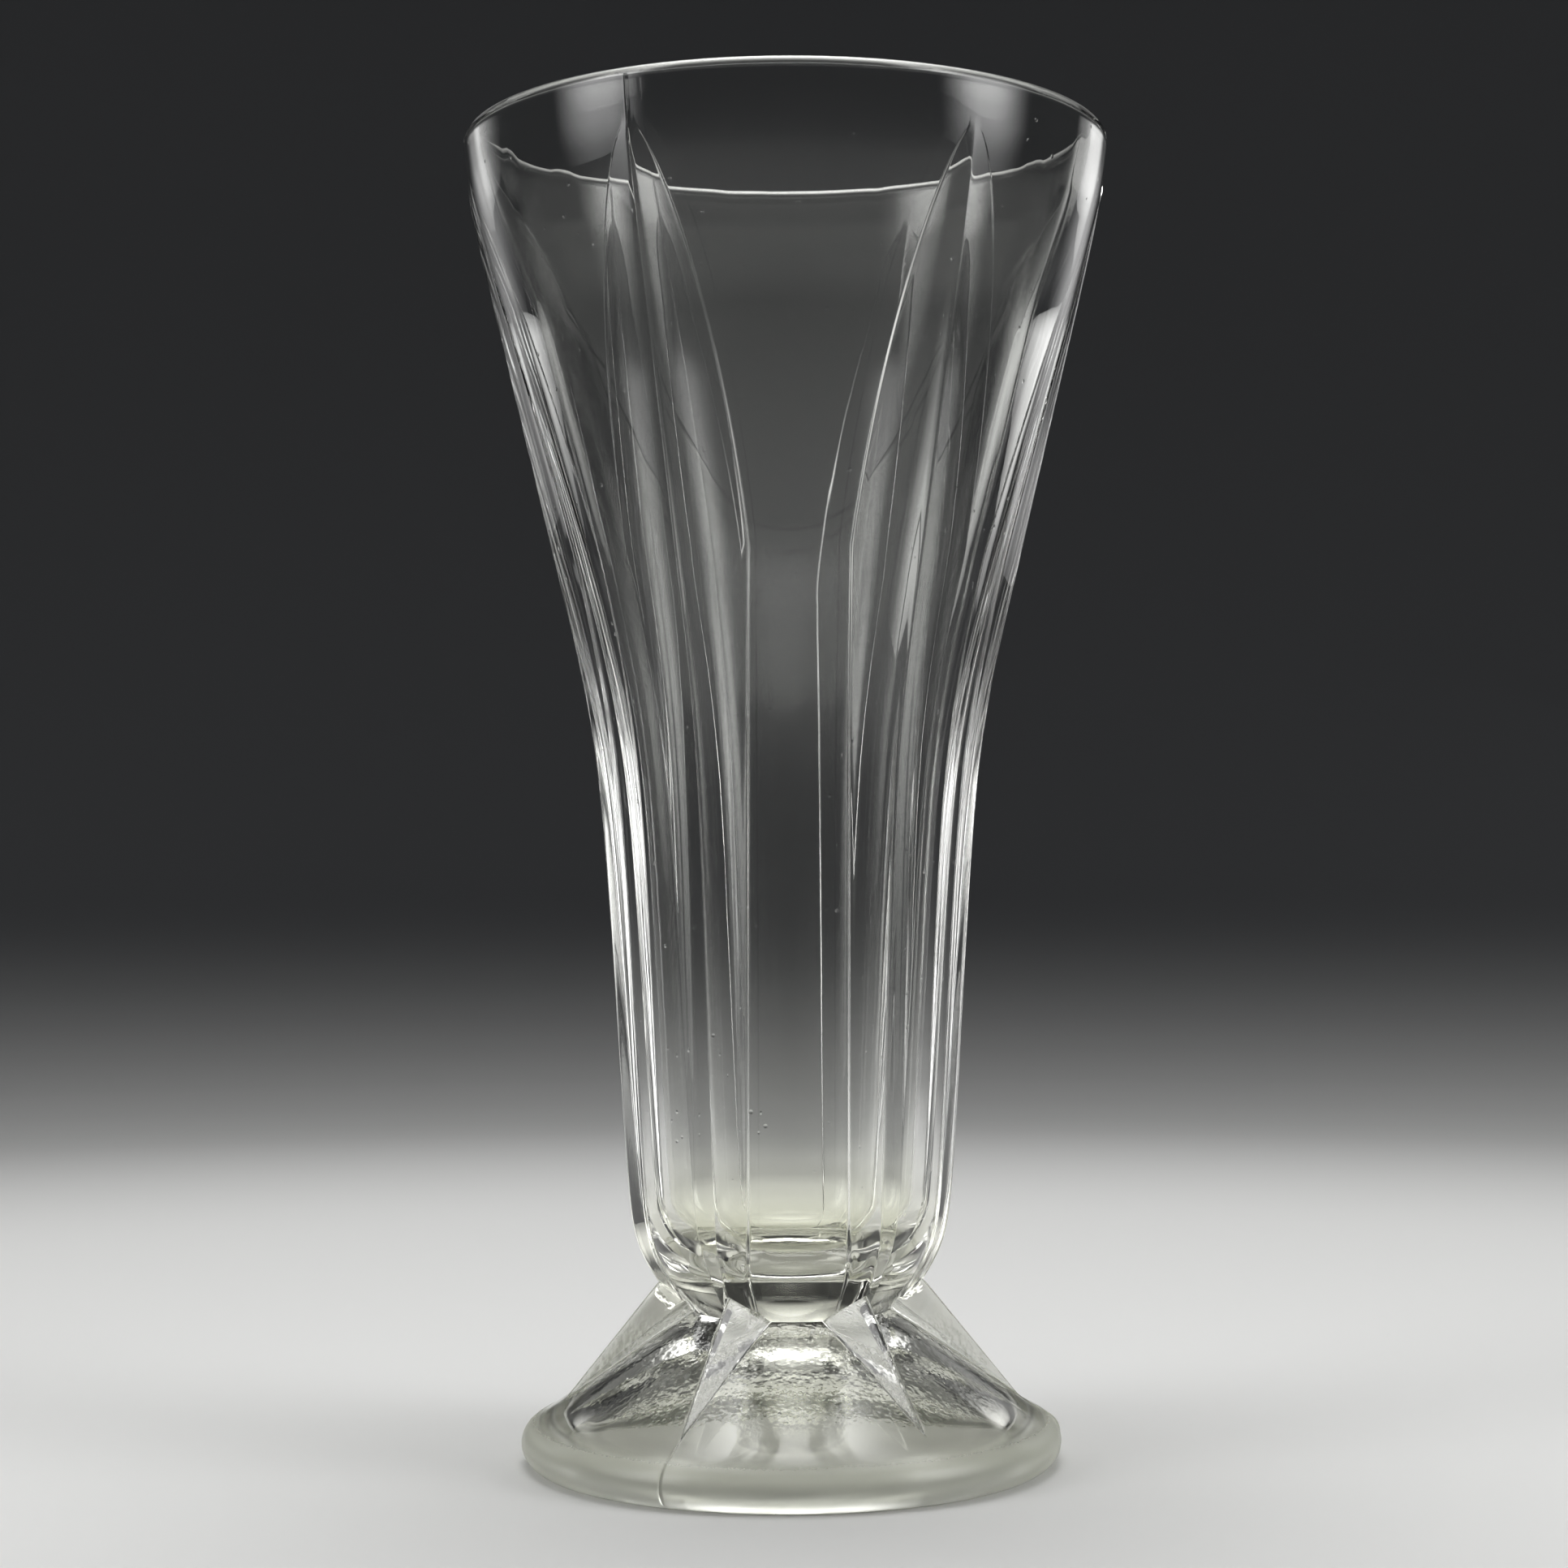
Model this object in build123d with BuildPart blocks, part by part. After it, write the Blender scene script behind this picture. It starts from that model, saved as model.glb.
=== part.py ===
from build123d import *
import math
import os

# A footed flower vase of clear pressed glass, in millimetres, standing on z = 0 with its axis on Z.
# A round trumpet bowl carries tall pointed spears between plain panels.
# It sits on a hollow conical foot whose kite-shaped ridges line up with the spears.

# Overall
vase_height = 200.0
side_count = 6

# Bowl, outside of its plain panels
joint_height = 23.0
bottom_round_height = 31.9
bottom_round_length = 4.9
bottom_pull_in = 6.2
tube_low_height = 45.0
tube_low_radius = 22.9
bend_height = 111.8
bend_radius = 26.1
bend_length = 17.0
lip_length = 8.8
lip_turn_radius = 47.8
lip_turn_length = 3.0
mouth_radius = 48.7
lip_rounding = 1.3
outline_point_count = 30

# Bowl, inside
floor_height = 30.5
floor_radius = 8.0
floor_round_height = 11.0
low_wall = 4.1
bend_wall = 4.6
flare_wall = 5.2
flare_wall_drop = 20.5
lip_wall = 3.0
inside_point_count = 20

# Spears on the bowl
spear_tip_gap = 7.5
spear_head_length = 57.5
spear_relief = 2.1
spear_edge_relief = 0.45
spear_root_depth = 1.2
panel_half_width = 7.3
panel_half_angle_limit = 21.0
spear_tip_half_angle = 0.6
spear_tip_sink = 0.05
spear_low_station_count = 7
spear_shaft_station_count = 6
spear_head_station_count = 9

# Foot
flange_height = 8.7
flange_radius = 35.2
edge_top_height = 6.4
edge_top_radius = 38.9
edge_height = 2.5
foot_radius = 40.8
rest_ring_outer_radius = 38.8
rest_ring_inner_radius = 35.6
hollow_shoulder_height = 3.6
hollow_shoulder_radius = 34.0
hollow_crown_height = 18.6
hollow_crown_radius = 12.5
hollow_rounding = 6.0

# Kites on the foot
kite_arris_radius = 23.8
kite_half_angle = 15.5
kite_rise = 7.0
kite_root_share = 1.2
kite_tip_overrun = 0.6
kite_tip_sink = 0.5

half_turn = 180.0
lip_height = vase_height - lip_length
spear_tip_height = vase_height - spear_tip_gap
flare_wall_height = spear_tip_height - flare_wall_drop
tube_slope = (bend_radius - tube_low_radius) / (bend_height - tube_low_height)
flare_slope = (lip_turn_radius - bend_radius) / (lip_height - bend_height)
lip_slope = (mouth_radius - lip_turn_radius) / (vase_height - lip_height)
bottom_slope = bottom_pull_in / (bottom_round_height - joint_height)


def soft_ramp(reach, round_length):
    """Zero before a corner and the reach beyond it, rounded over round_length to either side."""
    return (reach + math.hypot(reach, round_length)) / 2


def panel_radius(height):
    """Outer radius of a plain panel: a slim tapering tube, a straight flare, an upright lip."""
    radius = tube_low_radius + tube_slope * (height - tube_low_height)
    radius += (flare_slope - tube_slope) * soft_ramp(height - bend_height, bend_length)
    radius -= (flare_slope - lip_slope) * soft_ramp(height - lip_height, lip_turn_length)
    radius -= bottom_slope * soft_ramp(bottom_round_height - height, bottom_round_length)
    return radius


def inside_radius(height):
    """Radius of the hollow: the panel less a wall that is thickest behind the spears' heads."""
    wall = low_wall + (bend_wall - low_wall) * (height - tube_low_height) / (bend_height - tube_low_height)
    if height > bend_height:
        climb_share = (height - bend_height) / (flare_wall_height - bend_height)
        wall = bend_wall + (flare_wall - bend_wall) * climb_share
    if height > flare_wall_height:
        climb_share = (height - flare_wall_height) / (vase_height - flare_wall_height)
        wall = flare_wall + (lip_wall - flare_wall) * climb_share
    return panel_radius(height) - wall


def evenly(first, last, count):
    """Count values from first to last in equal steps."""
    return [first + (last - first) * step / (count - 1) for step in range(count)]


def spear_section(arris_radius, edge_radius, root_radius, half_angle):
    """Level cut of a spear on +X: its arris, its flanks' lower edges, and sides dropping to sunk roots."""
    edge = Vector(edge_radius, 0).rotate(Axis.Z, half_angle)
    root = Vector(root_radius, 0).rotate(Axis.Z, half_angle)
    return [(arris_radius, 0), (edge.X, edge.Y), (root.X, root.Y), (root.X, -root.Y), (edge.X, -edge.Y)]


def kite_section(arris_radius, base_radius, half_angle, root_share):
    """Level cut of a kite on +X: its arris, and its flanks run on past the base points to sunk roots."""
    base = Vector(base_radius, 0).rotate(Axis.Z, half_angle)
    root_x = arris_radius + (base.X - arris_radius) * root_share
    root_y = base.Y * root_share
    return [(arris_radius, 0), (root_x, root_y), (root_x, -root_y)]


def spear_growth(height):
    """Share of a spear's full width and relief over its head: the mean of a straight and a round taper."""
    down_share = min(max((spear_tip_height - height) / spear_head_length, 0), 1)
    return (down_share + math.sqrt(down_share)) / 2


def spear_half_angle(height):
    """Half of the angle that a full spear takes up: what an even panel leaves free on either side."""
    panel_half_angle = math.degrees(math.asin(panel_half_width / panel_radius(height)))
    return half_turn / side_count - min(panel_half_angle, panel_half_angle_limit)


# One spear: a long raised ridge whose two flanks meet in an arris and run out in a point under the rim
low_stations = evenly(joint_height, tube_low_height, spear_low_station_count)
shaft_stations = evenly(tube_low_height, spear_tip_height - spear_head_length, spear_shaft_station_count)
down_shares = [share * share for share in evenly(1, 0, spear_head_station_count)]
head_stations = [spear_tip_height - spear_head_length * share for share in down_shares]
with BuildPart() as spear:
    for station in low_stations + shaft_stations[1:] + head_stations[1:]:
        growth = spear_growth(station)
        sink = spear_tip_sink * (1 - growth)
        arris_radius = panel_radius(station) + spear_relief * growth - sink
        edge_radius = panel_radius(station) + spear_edge_relief * growth - sink - sink
        root_radius = panel_radius(station) - spear_root_depth
        half_angle = spear_tip_half_angle + (spear_half_angle(station) - spear_tip_half_angle) * growth
        with BuildSketch(Plane.XY.offset(station)):
            with BuildLine():
                section = spear_section(arris_radius, edge_radius, root_radius, half_angle)
                Polyline(*section, close=True)
            make_face()
    loft()

# Bowl: the round wall and its spears, hollowed, with a fire-rounded rim
rim_round_height = vase_height - lip_rounding
floor_round_top = floor_height + floor_round_height
with BuildPart() as bowl:
    with BuildSketch(Plane.XZ):
        with BuildLine():
            outline_heights = evenly(joint_height, rim_round_height, outline_point_count)
            outline = Spline(*[(panel_radius(height), height) for height in outline_heights])
            crest = (panel_radius(rim_round_height) - lip_rounding, vase_height)
            TangentArc(crest, outline @ 1, tangent=(1, 0))
            Polyline(crest, (0, vase_height), (0, joint_height), outline @ 0)
        make_face()
    revolve(axis=Axis.Z)
    with PolarLocations(0, side_count):
        add(spear.part)
    with BuildSketch(Plane.XZ):
        with BuildLine():
            inside_heights = evenly(floor_round_top, rim_round_height, inside_point_count)
            inside = Spline(*[(inside_radius(height), height) for height in inside_heights])
            inner_crest = (inside_radius(rim_round_height) + lip_rounding, vase_height)
            TangentArc(inner_crest, inside @ 1, tangent=(-1, 0))
            floor = Line((0, floor_height), (floor_radius, floor_height))
            Spline(floor @ 1, inside @ 0, tangents=(floor % 1, inside % 0))
            Polyline(inner_crest, (0, vase_height), floor @ 0)
        make_face()
    revolve(axis=Axis.Z, mode=Mode.SUBTRACT)

# One kite: a pyramid lying down the foot, its arris running out in a point above the foot's edge
waist_radius = panel_radius(joint_height)
kite_tip = Vector(flange_radius + kite_tip_overrun, 0, flange_height - kite_tip_sink)
kite_growth = (joint_height + kite_rise - kite_tip.Z) / (joint_height - kite_tip.Z)
with BuildPart() as kite:
    with BuildSketch(Plane.XY.offset(joint_height + kite_rise)) as kite_top:
        with BuildLine():
            waist = kite_section(kite_arris_radius, waist_radius, kite_half_angle, kite_root_share)
            section = [(kite_tip.X + (x - kite_tip.X) * kite_growth, y * kite_growth) for x, y in waist]
            Polyline(*section, close=True)
        make_face()
    loft(sections=[kite_top.sketch, Vertex(kite_tip)], ruled=True)

# Foot: a spreading cone with a rounded edge, hollow underneath, its kites cut back to the bowl
with BuildPart() as foot:
    with BuildSketch(Plane.XZ):
        with BuildLine():
            slope = Line((waist_radius, joint_height), (flange_radius, flange_height))
            flange = TangentArc(slope @ 1, (edge_top_radius, edge_top_height), tangent=slope % 1)
            ThreePointArc(flange @ 1, (foot_radius, edge_height), (rest_ring_outer_radius, 0))
            Polyline((rest_ring_outer_radius, 0), (0, 0), (0, joint_height), slope @ 0)
        make_face()
    revolve(axis=Axis.Z)
    with PolarLocations(0, side_count):
        add(kite.part)
    add(bowl.part, mode=Mode.SUBTRACT)
    with BuildSketch(Plane.XZ):
        with BuildLine():
            ring_edge = (rest_ring_inner_radius, 0)
            shoulder = (hollow_shoulder_radius, hollow_shoulder_height)
            crown = (hollow_crown_radius, hollow_crown_height)
            crown_middle = (0, hollow_crown_height)
            FilletPolyline(ring_edge, shoulder, crown, crown_middle, radius=hollow_rounding)
            Polyline(crown_middle, (0, 0), ring_edge)
        make_face()
    revolve(axis=Axis.Z, mode=Mode.SUBTRACT)

os.makedirs("parts", exist_ok=True)
bowl.part.label = "bowl"
export_step(bowl.part, "parts/bowl.step")
foot.part.label = "foot"
export_step(foot.part, "parts/foot.step")
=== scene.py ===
# %% [markdown]
# # A footed vase of clear pressed glass
# This lesson dresses a small glass vase in Blender. Its solids come from a CAD model that is loaded first
# and never changed. Each visible piece is a surface worked out with numpy in the same frame, in
# millimetres, and is then put into a mesh in metres. The vase has two pieces, the trumpet bowl and the
# foot that it stands on.

# %% Load the fixed frame
import bpy
import numpy as np
from mathutils import Euler, Matrix, Vector


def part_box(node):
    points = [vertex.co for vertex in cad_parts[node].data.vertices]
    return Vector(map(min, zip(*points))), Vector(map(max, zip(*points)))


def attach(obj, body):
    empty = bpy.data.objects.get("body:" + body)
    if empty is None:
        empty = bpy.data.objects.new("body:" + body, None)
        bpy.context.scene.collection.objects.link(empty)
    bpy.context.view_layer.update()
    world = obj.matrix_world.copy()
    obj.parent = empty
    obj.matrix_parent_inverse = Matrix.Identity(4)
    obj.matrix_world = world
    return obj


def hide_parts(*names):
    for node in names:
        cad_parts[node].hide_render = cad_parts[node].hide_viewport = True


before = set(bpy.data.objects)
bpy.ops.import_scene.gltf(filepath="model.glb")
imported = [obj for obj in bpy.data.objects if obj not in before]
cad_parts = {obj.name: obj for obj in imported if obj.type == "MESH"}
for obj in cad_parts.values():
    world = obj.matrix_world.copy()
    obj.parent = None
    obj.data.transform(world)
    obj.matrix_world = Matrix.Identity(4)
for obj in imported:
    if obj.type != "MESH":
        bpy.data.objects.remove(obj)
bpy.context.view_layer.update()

METRES_PER_MM = 0.001
for node_name in sorted(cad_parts):
    lowest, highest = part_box(node_name)
    low_mm, high_mm = lowest.z / METRES_PER_MM, highest.z / METRES_PER_MM
    print(node_name, "stands from", round(low_mm, 1), "to", round(high_mm, 1), "mm")

# %% [markdown]
# ## The outline of the bowl
# A presser's mould gives the bowl one outline: a slim tube that widens slowly, a bend, a straight flare
# and a short upright lip. It could be drawn as a curve with handles. Here it is one formula instead,
# because the same formula then also says where the ridges, the inside wall and the joint with the foot
# lie. Each corner between two straight stretches is a hyperbola, which rounds it by a named length.

# %% Outline of the plain panels
HEIGHT = 200.0
JOINT_HEIGHT = 23.0
BOTTOM_ROUND_HEIGHT, BOTTOM_ROUND_LENGTH, BOTTOM_PULL_IN = 31.9, 4.9, 6.2
TUBE_LOW_HEIGHT, TUBE_LOW_RADIUS = 45.0, 22.9
BEND_HEIGHT, BEND_RADIUS, BEND_LENGTH = 111.8, 26.1, 17.0
LIP_HEIGHT, LIP_TURN_RADIUS, LIP_TURN_LENGTH = 191.2, 47.8, 3.0
MOUTH_RADIUS = 48.7

tube_slope = (BEND_RADIUS - TUBE_LOW_RADIUS) / (BEND_HEIGHT - TUBE_LOW_HEIGHT)
flare_slope = (LIP_TURN_RADIUS - BEND_RADIUS) / (LIP_HEIGHT - BEND_HEIGHT)
lip_slope = (MOUTH_RADIUS - LIP_TURN_RADIUS) / (HEIGHT - LIP_HEIGHT)
bottom_slope = BOTTOM_PULL_IN / (BOTTOM_ROUND_HEIGHT - JOINT_HEIGHT)


def soft_ramp(reach, rounding):
    """Zero before a corner and the reach beyond it, on a hyperbola that rounds the corner."""
    return (reach + np.hypot(reach, rounding)) / 2


def panel_radius(height):
    """Outer radius of a plain panel: a straight line that changes slope at bend, lip and bottom."""
    radius = TUBE_LOW_RADIUS + tube_slope * (height - TUBE_LOW_HEIGHT)
    radius = radius + (flare_slope - tube_slope) * soft_ramp(height - BEND_HEIGHT, BEND_LENGTH)
    radius = radius - (flare_slope - lip_slope) * soft_ramp(height - LIP_HEIGHT, LIP_TURN_LENGTH)
    return radius - bottom_slope * soft_ramp(BOTTOM_ROUND_HEIGHT - height, BOTTOM_ROUND_LENGTH)


key_heights = np.array([JOINT_HEIGHT, BEND_HEIGHT, HEIGHT])
print("panel radius at joint, bend and rim:", np.round(panel_radius(key_heights), 2))

# %% [markdown]
# ## Ridges on the glass
# Six spears stand on the bowl and six kites on the foot. Each is a ridge of two flat flanks that meet in
# an edge, called an arris. In a level cut a flank is a straight line, so its distance from the axis can
# be written in polar form. Boolean cuts would give the same edges but knife-sharp. The glass was reheated
# after pressing, and its edges flowed round, so here a soft ramp joins flank and wall, and a soft angle
# rounds the arris.

# %% Flanks of a ridge
SIDE_COUNT = 6
SECTOR_HALF_ANGLE = np.pi / SIDE_COUNT
ARRIS_ROUNDING = 0.22


def soft_least(first, second, rounding):
    """The lesser of two values, on a hyperbola that rounds the corner where they cross."""
    return first - soft_ramp(first - second, rounding)


def flank_radius(offset, crest, base_x, base_y):
    """Polar form of the straight line from the crest on the ridge's middle to the point base_x, base_y.

    Past the angle at which the line is nearest to the axis it keeps that radius, so that it never
    turns outwards again."""
    nearest = np.arctan2(crest - base_x, base_y)
    offset = np.minimum(offset, nearest)
    return crest * base_y / (base_y * np.cos(offset) + (crest - base_x) * np.sin(offset))


def rounded_offset(offset, radius):
    """Angle from the ridge's middle, blunted there so that the arris is round instead of sharp."""
    return np.hypot(offset, ARRIS_ROUNDING / radius)


print("a sector spans", round(np.degrees(2 * SECTOR_HALF_ANGLE)), "degrees")

# %% [markdown]
# ### Spears
# The plain panels between the spears keep an even width, so a spear takes the angle that they leave.
# Over its head it grows narrower and lower together, and its low raised edge drops steeply to the wall.

# %% Spears of the bowl
SPEAR_TIP_HEIGHT, SPEAR_HEAD_LENGTH = 192.5, 57.5
SPEAR_RELIEF, SPEAR_EDGE_RELIEF, SPEAR_SIDE_SLOPE = 2.1, 0.45, 2.0
PANEL_HALF_WIDTH, PANEL_HALF_ANGLE_LIMIT = 7.3, np.radians(21.0)
EDGE_ROUNDING, FLANK_ROUNDING = 0.06, 0.04
LEAST_HALF_ANGLE = 1e-3
FADE_GROWTH = 0.05


def spear_growth(height):
    """Share of a spear's full width and relief over its head: the mean of a straight and a round taper."""
    down_share = np.clip((SPEAR_TIP_HEIGHT - height) / SPEAR_HEAD_LENGTH, 0, 1)
    return (down_share + np.sqrt(down_share)) / 2


def spear_half_angle(height):
    """Half the angle of a spear: what an even panel leaves free of the sector, times the growth."""
    panel_half_angle = np.arcsin(PANEL_HALF_WIDTH / panel_radius(height))
    free_angle = SECTOR_HALF_ANGLE - np.minimum(panel_half_angle, PANEL_HALF_ANGLE_LIMIT)
    return free_angle * spear_growth(height)


def bowl_radius(offset, height):
    """Outer radius of the bowl: the wall, plus a spear, the lesser of its flank and its low steep side."""
    wall = panel_radius(height)
    growth = spear_growth(height)
    half = np.maximum(spear_half_angle(height), LEAST_HALF_ANGLE)
    crest, edge = wall + SPEAR_RELIEF * growth, wall + SPEAR_EDGE_RELIEF * growth
    edge_x, edge_y = edge * np.cos(half), edge * np.sin(half)
    flank = flank_radius(rounded_offset(offset, wall), crest, edge_x, edge_y) - wall
    side = SPEAR_EDGE_RELIEF * growth - (offset - half) * wall * SPEAR_SIDE_SLOPE
    stand = soft_ramp(soft_least(flank, side, EDGE_ROUNDING), FLANK_ROUNDING)
    return wall + stand * np.minimum(1, growth / FADE_GROWTH)


shown_heights = np.array([45.0, 110.0, 150.0, 180.0])
print("spear half angles in degrees:", np.round(np.degrees(spear_half_angle(shown_heights)), 1))

# %% [markdown]
# ## The cone of the foot
# The foot is a hollow cone. Its kites are thin pyramids that lie down the cone, and their tips run out
# above the rounded edge. Seen in a level cut the kite is again a triangle, whose size grows evenly from
# the tip upwards, so the same flank formula serves. Where foot and bowl meet there is a scalloped crease.
# Its height has no formula, so it is found by halving an interval, for all columns at once.

# %% Cone and kites of the foot
FLANGE_HEIGHT, FLANGE_RADIUS = 8.7, 35.2
KITE_ARRIS_RADIUS, KITE_HALF_ANGLE = 23.8, np.radians(15.5)
KITE_TIP_OVERRUN, KITE_TIP_SINK = 0.6, 0.5
KITE_ROUNDING = 0.07
KITE_LEAST_GROWTH = 1e-4
CREASE_BELOW, CREASE_ABOVE, CREASE_HALVINGS = 3.0, 8.0, 40
waist_radius = float(panel_radius(JOINT_HEIGHT))
cone_slope = (FLANGE_RADIUS - waist_radius) / (JOINT_HEIGHT - FLANGE_HEIGHT)
kite_tip_radius, kite_tip_height = FLANGE_RADIUS + KITE_TIP_OVERRUN, FLANGE_HEIGHT - KITE_TIP_SINK


def kite_triangle(height):
    """Crest and base point of a kite's level cut, which grows evenly from nothing at the tip."""
    growth = np.maximum((height - kite_tip_height) / (JOINT_HEIGHT - kite_tip_height), KITE_LEAST_GROWTH)
    crest = kite_tip_radius + (KITE_ARRIS_RADIUS - kite_tip_radius) * growth
    base_x = kite_tip_radius + (waist_radius * np.cos(KITE_HALF_ANGLE) - kite_tip_radius) * growth
    return crest, base_x, waist_radius * np.sin(KITE_HALF_ANGLE) * growth


def foot_radius(offset, height):
    """Outer radius of the foot above its flange: the cone, and a soft ramp by which a kite stands proud."""
    cone = FLANGE_RADIUS + cone_slope * (FLANGE_HEIGHT - height)
    crest, base_x, base_y = kite_triangle(height)
    flank = flank_radius(rounded_offset(offset, crest), crest, base_x, base_y)
    return cone + soft_ramp(flank - cone, KITE_ROUNDING)


def crease_height(offset):
    """Height at which foot and bowl meet, found by halving the interval in which their radii cross."""
    low = np.full_like(offset, JOINT_HEIGHT - CREASE_BELOW)
    high = np.full_like(offset, JOINT_HEIGHT + CREASE_ABOVE)
    for _ in range(CREASE_HALVINGS):
        middle = (low + high) / 2
        foot_outside = foot_radius(offset, middle) > bowl_radius(offset, middle)
        low = np.where(foot_outside, middle, low)
        high = np.where(foot_outside, high, middle)
    return (low + high) / 2


ridge_and_panel = np.array([0.0, SECTOR_HALF_ANGLE])
print("crease height at ridge and panel:", np.round(crease_height(ridge_and_panel), 2))

# %% [markdown]
# ## A grid that follows the ridges
# A grid of even steps would cut across the arrises and leave them ragged. So each half sector has its own
# steps: from the arris along the flank, down its low side, on to where the kite ends below, and to the
# middle of the panel. The columns then run along every edge of the design, and smooth shading is enough
# to show it crisp.

# %% Columns of the grid
FLANK_STEPS, SIDE_STEPS, APRON_STEPS, PANEL_STEPS = 11, 3, 5, 7
GRID_LEAST_HALF_ANGLE = np.radians(1.2)
SIDE_GRID_WIDTH = 0.4
APRON_LEAST_SHARE = 1.2


def eased(count):
    """Steps from 0 up to but not including 1, close together at both ends."""
    share = np.arange(count) / count
    return share * share * (3 - 2 * share)


def columns(flank_end, apron_end, radius):
    """Signed angles from each ridge's middle and angles about the axis, a row for each set of ends given."""
    flank_end = np.maximum(flank_end, GRID_LEAST_HALF_ANGLE)[:, None]
    side_end = flank_end + SIDE_GRID_WIDTH / radius[:, None]
    apron_end = np.maximum(apron_end[:, None], side_end * APRON_LEAST_SHARE)
    right = np.concatenate([flank_end * eased(FLANK_STEPS),
                            flank_end + (side_end - flank_end) * np.arange(SIDE_STEPS) / SIDE_STEPS,
                            side_end + (apron_end - side_end) * eased(APRON_STEPS),
                            apron_end + (SECTOR_HALF_ANGLE - apron_end) * eased(PANEL_STEPS)], axis=1)
    left = np.concatenate([np.full_like(flank_end, -SECTOR_HALF_ANGLE), -right[:, :0:-1]], axis=1)
    offset = np.tile(np.concatenate([right, left], axis=1), (1, SIDE_COUNT))
    ridge = np.repeat(np.arange(2 * SIDE_COUNT) + 1, right.shape[1]) // 2
    return offset, offset + ridge * 2 * SECTOR_HALF_ANGLE


def ring_points(radius, angle, height):
    """Points at a radius, an angle about the axis and a height."""
    radius, angle, height = np.broadcast_arrays(radius, angle, height)
    return np.stack([radius * np.cos(angle), radius * np.sin(angle), height], axis=-1)


sample_offsets, _ = columns(np.array([0.2]), np.array([0.3]), np.array([25.0]))
print("columns round the vase:", sample_offsets.shape[1])

# %% [markdown]
# ### From rings to a mesh
# A closed piece is a stack of rings. Neighbouring rings are joined by quads, and a fan closes either end.
# Glass needs its normals right, so the edge between two materials is marked sharp.

# %% Mesh builder
MM3_PER_ML = 1000


def closed_mesh(name, rings, patch_rows):
    """Mesh of rings of points, each joined to the next, with a fan at either end.

    patch_rows gives the material of each row; the edge between two materials is kept sharp."""
    rows, count = rings.shape[:2]
    poles = np.stack([rings[0].mean(axis=0), rings[-1].mean(axis=0)])
    points = np.concatenate([rings.reshape(-1, 3), poles]) * METRES_PER_MM
    grid = np.arange(rows * count).reshape(rows, count)
    ahead = np.roll(grid, -1, axis=1)
    quads = np.stack([grid[:-1], ahead[:-1], ahead[1:], grid[1:]], axis=-1).reshape(-1, 4)
    first_fan = np.stack([np.full(count, rows * count), ahead[0], grid[0]], axis=-1)
    last_fan = np.stack([np.full(count, rows * count + 1), grid[-1], ahead[-1]], axis=-1)
    mesh = bpy.data.meshes.new(name)
    mesh.from_pydata(points.tolist(), [], quads.tolist() + first_fan.tolist() + last_fan.tolist())
    fan_patches = np.repeat([patch_rows[0], patch_rows[-1]], count)
    patches = np.concatenate([np.repeat(patch_rows, count), fan_patches])
    mesh.polygons.foreach_set("material_index", patches.astype(np.int32))
    mesh.polygons.foreach_set("use_smooth", np.ones(len(mesh.polygons), dtype=bool))
    mesh.update(calc_edges=True)
    ends = np.empty(2 * len(mesh.edges), dtype=np.int32)
    mesh.edges.foreach_get("vertices", ends)
    sharp_row = np.flatnonzero(np.diff(patch_rows))[0] + 1
    mesh.edges.foreach_set("use_edge_sharp", (ends.reshape(-1, 2) // count == sharp_row).all(axis=1))
    piece = bpy.data.objects.new(name, mesh)
    bpy.context.scene.collection.objects.link(piece)
    first, second, third = points[quads[:, 0]], points[quads[:, 1]], points[quads[:, 2]]
    volume = np.einsum("ij,ij->i", first, np.cross(second, third)).sum() / 3
    millilitres = round(volume / METRES_PER_MM ** 3 / MM3_PER_ML, 1)
    triangles = 2 * len(quads) + 2 * count
    print(name, len(points), "points,", triangles, "triangles, signed volume about", millilitres, "ml")
    return piece


print("quads between two rings:", sample_offsets.shape[1])

# %% [markdown]
# ## Bowl
# The bowl is one skin of glass: from the middle of its hidden underside out to the crease, up the
# outside, over the round lip, down the inside and across the floor. It could be a revolved curve with the
# spears added. A single grid is used because glass needs a closed wall with no overlaps, or light bends
# wrongly where pieces cross. The inside is the outside's outline less a wall that is thickest behind the
# spears' heads. The mould was in three parts, and left a low hairline seam where two of them met.

# %% Inside wall and mould seams
LOW_WALL, BEND_WALL, FLARE_WALL, LIP_WALL = 4.1, 4.6, 5.2, 3.0
THICK_HEIGHT = 172.0
SEAM_TURNS = np.radians([0.0, 120.0, 240.0])
SEAM_RELIEF, SEAM_HALF_WIDTH = 0.14, 0.2


def inside_radius(height):
    """Radius of the hollow: the panel less a wall whose thickness runs in straight stretches."""
    stops = [TUBE_LOW_HEIGHT, BEND_HEIGHT, THICK_HEIGHT, HEIGHT]
    return panel_radius(height) - np.interp(height, stops, [LOW_WALL, BEND_WALL, FLARE_WALL, LIP_WALL])


def seam_relief(angle, radius):
    """Height of the mould seams: a low bell across each line where two parts of the mould met."""
    away = (angle[..., None] - SEAM_TURNS + np.pi) % (2 * np.pi) - np.pi
    return SEAM_RELIEF * np.exp(-((away * radius[..., None] / SEAM_HALF_WIDTH) ** 2)).sum(axis=-1)


print("inside radius at the bend:", round(float(inside_radius(BEND_HEIGHT)), 2), "mm")

# %% [markdown]
# ### Hidden underside
# Bowl and foot touch in a shallow dish that lies inside solid glass. Both pieces start from the same
# rings there, so they meet with no gap, and the dish gets a patch of its own that light passes through.

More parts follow.
